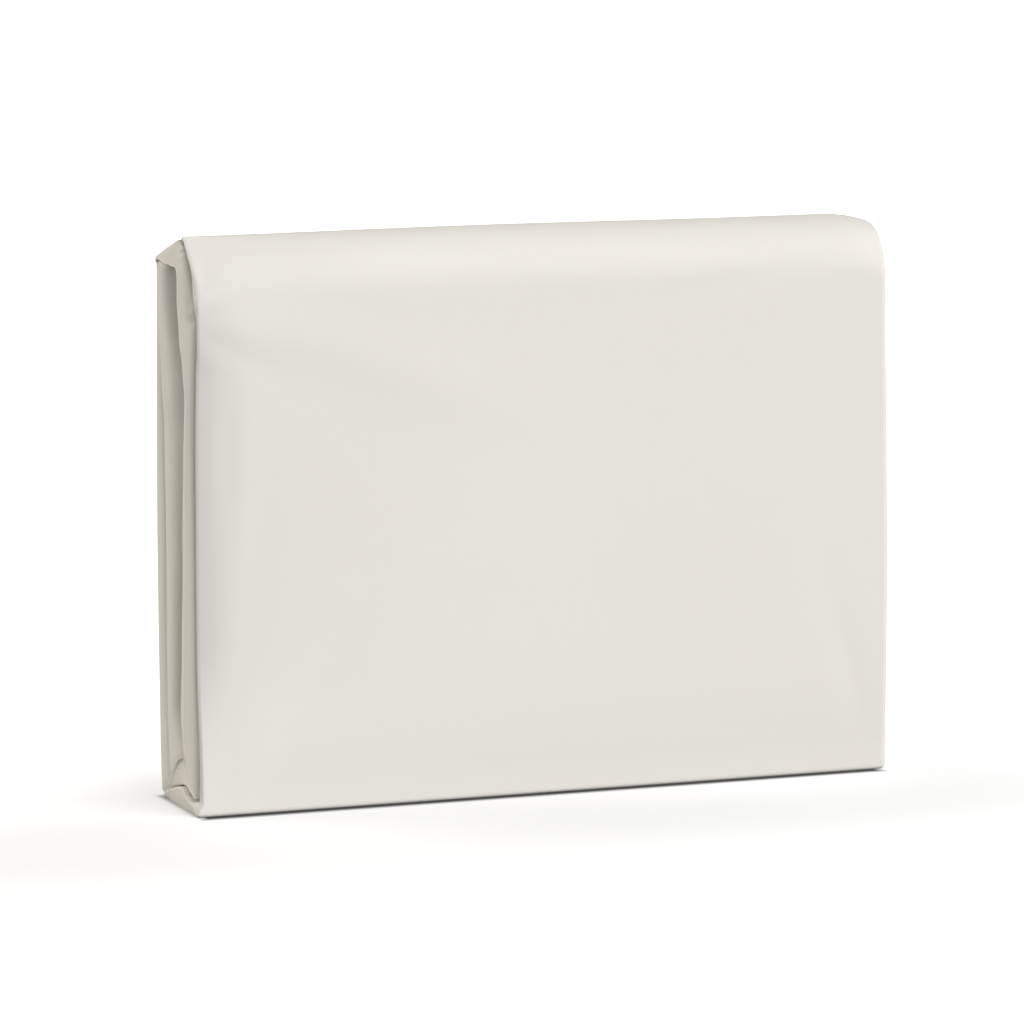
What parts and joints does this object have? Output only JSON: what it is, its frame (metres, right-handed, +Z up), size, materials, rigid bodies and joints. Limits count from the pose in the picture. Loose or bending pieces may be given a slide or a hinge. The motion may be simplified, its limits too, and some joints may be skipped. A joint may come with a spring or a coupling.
{
  "type": "folded duvet cover",
  "caption": "Plain cotton duvet cover folded into an upright rectangular pack, with soft rounded folds at both ends.",
  "frame": {"origin": "middle of the face that the pack rests on", "axes": "+X along the pack from the end that shows its folds to the other end, +Y from the smooth front panel to the back, +Z up"},
  "size_m": [0.3638, 0.061, 0.2783],
  "materials": {
    "cotton": "plain warm white cotton sateen, pressed smooth, soft low sheen"
  },
  "bodies": {
    "root": {"duvet_cover": "cotton"}
  },
  "joints": []
}
